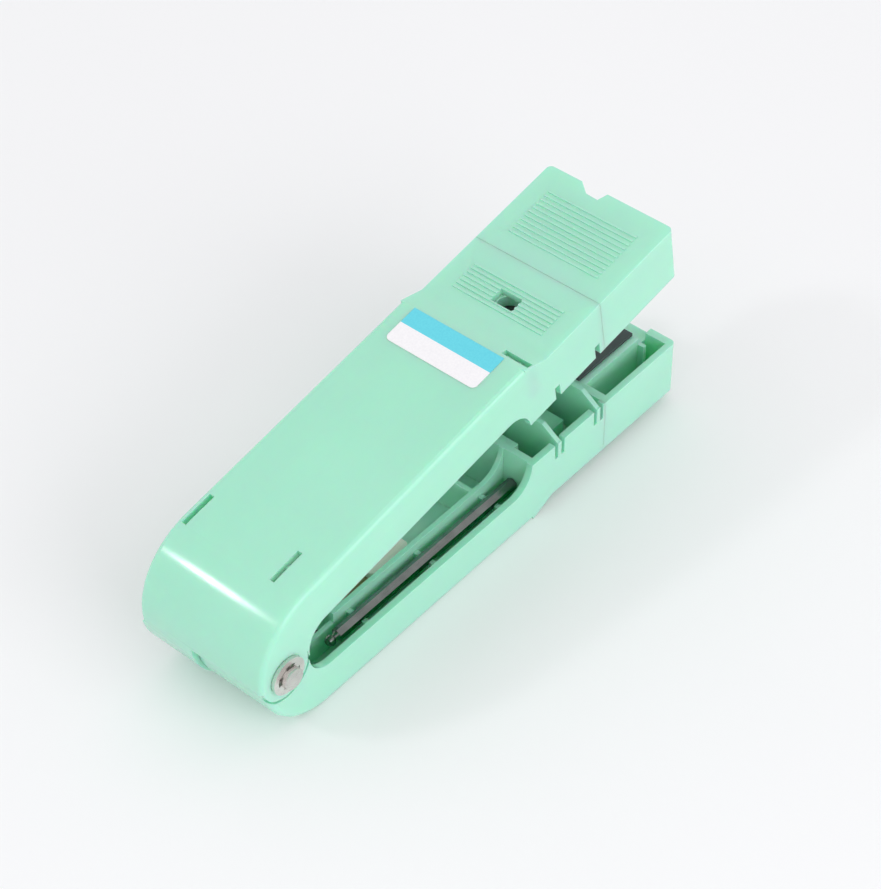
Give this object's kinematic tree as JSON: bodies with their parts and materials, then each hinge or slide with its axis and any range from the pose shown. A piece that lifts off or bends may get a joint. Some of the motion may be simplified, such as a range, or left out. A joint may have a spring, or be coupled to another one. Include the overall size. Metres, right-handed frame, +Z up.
{
  "type": "fibre optic stripper",
  "caption": "Hand-held fibre optic stripper: sprung moulded arms on a hinge pin, notched blades behind padded jaws, with a hex wrench and cleaning brush stored inside.",
  "frame": {"origin": "on the surface it rests on, under the centre of its length and width", "axes": "+X towards the jaws, +Y to the far side, +Z up through the arms"},
  "size_m": [0.1076, 0.0306, 0.042],
  "materials": {
    "mint_plastic": "semi-gloss",
    "blade_steel": "fine ground",
    "screw_steel": "dark",
    "pin_steel": "turned",
    "spring_steel": "drawn wire",
    "wrench_steel": "dark polished",
    "pad_rubber": "matt",
    "cream_plastic": "matt",
    "bristle": "matt"
  },
  "bodies": {
    "lower_arm": {"lower_shell": "mint_plastic", "lower_jaw_cap": "mint_plastic", "lower_jaw_pad": "pad_rubber", "lower_blade_holder": "mint_plastic", "lower_blade": "blade_steel", "lower_blade_clamp": "blade_steel", "lower_clamp_screws": "screw_steel", "lower_holder_screws": "screw_steel", "hinge_pin": "pin_steel", "near_retaining_clip": "pin_steel", "far_retaining_clip": "pin_steel", "torsion_spring": "spring_steel"},
    "upper_arm": {"upper_shell": "mint_plastic", "upper_jaw_cap": "mint_plastic", "upper_jaw_pad": "pad_rubber", "upper_blade_holder": "mint_plastic", "upper_blade": "blade_steel", "upper_blade_clamp": "blade_steel", "upper_clamp_screws": "screw_steel", "upper_holder_screws": "screw_steel"},
    "gap_screw": {"gap_screw": "screw_steel"},
    "wrench": {"hex_wrench": "wrench_steel"},
    "brush": {"brush_handle": "cream_plastic", "brush_bristles": "bristle"}
  },
  "joints": [
    {"name": "arm_hinge", "type": "hinge", "parent": "lower_arm", "child": "upper_arm", "pos_m": [-0.0482, 0, 0.0148], "axis": [0, 1, 0], "range_deg": [0, 9.5], "stiffness_Nm_per_rad": 0.024, "springref_deg": -120.32, "deforming": ["torsion_spring"]},
    {"name": "gap_screw_turn", "type": "hinge", "parent": "upper_arm", "child": "gap_screw", "pos_m": [0.02383, 0, 0.02908], "axis": [-0.165, 0, 0.9863], "range_deg": [-180, 180]},
    {"name": "wrench_lift", "type": "slide", "parent": "lower_arm", "child": "wrench", "axis": [0, 0, 1], "range_m": [0, 0.012]},
    {"name": "brush_lift", "type": "slide", "parent": "lower_arm", "child": "brush", "axis": [0, 0, 1], "range_m": [0, 0.012]}
  ]
}
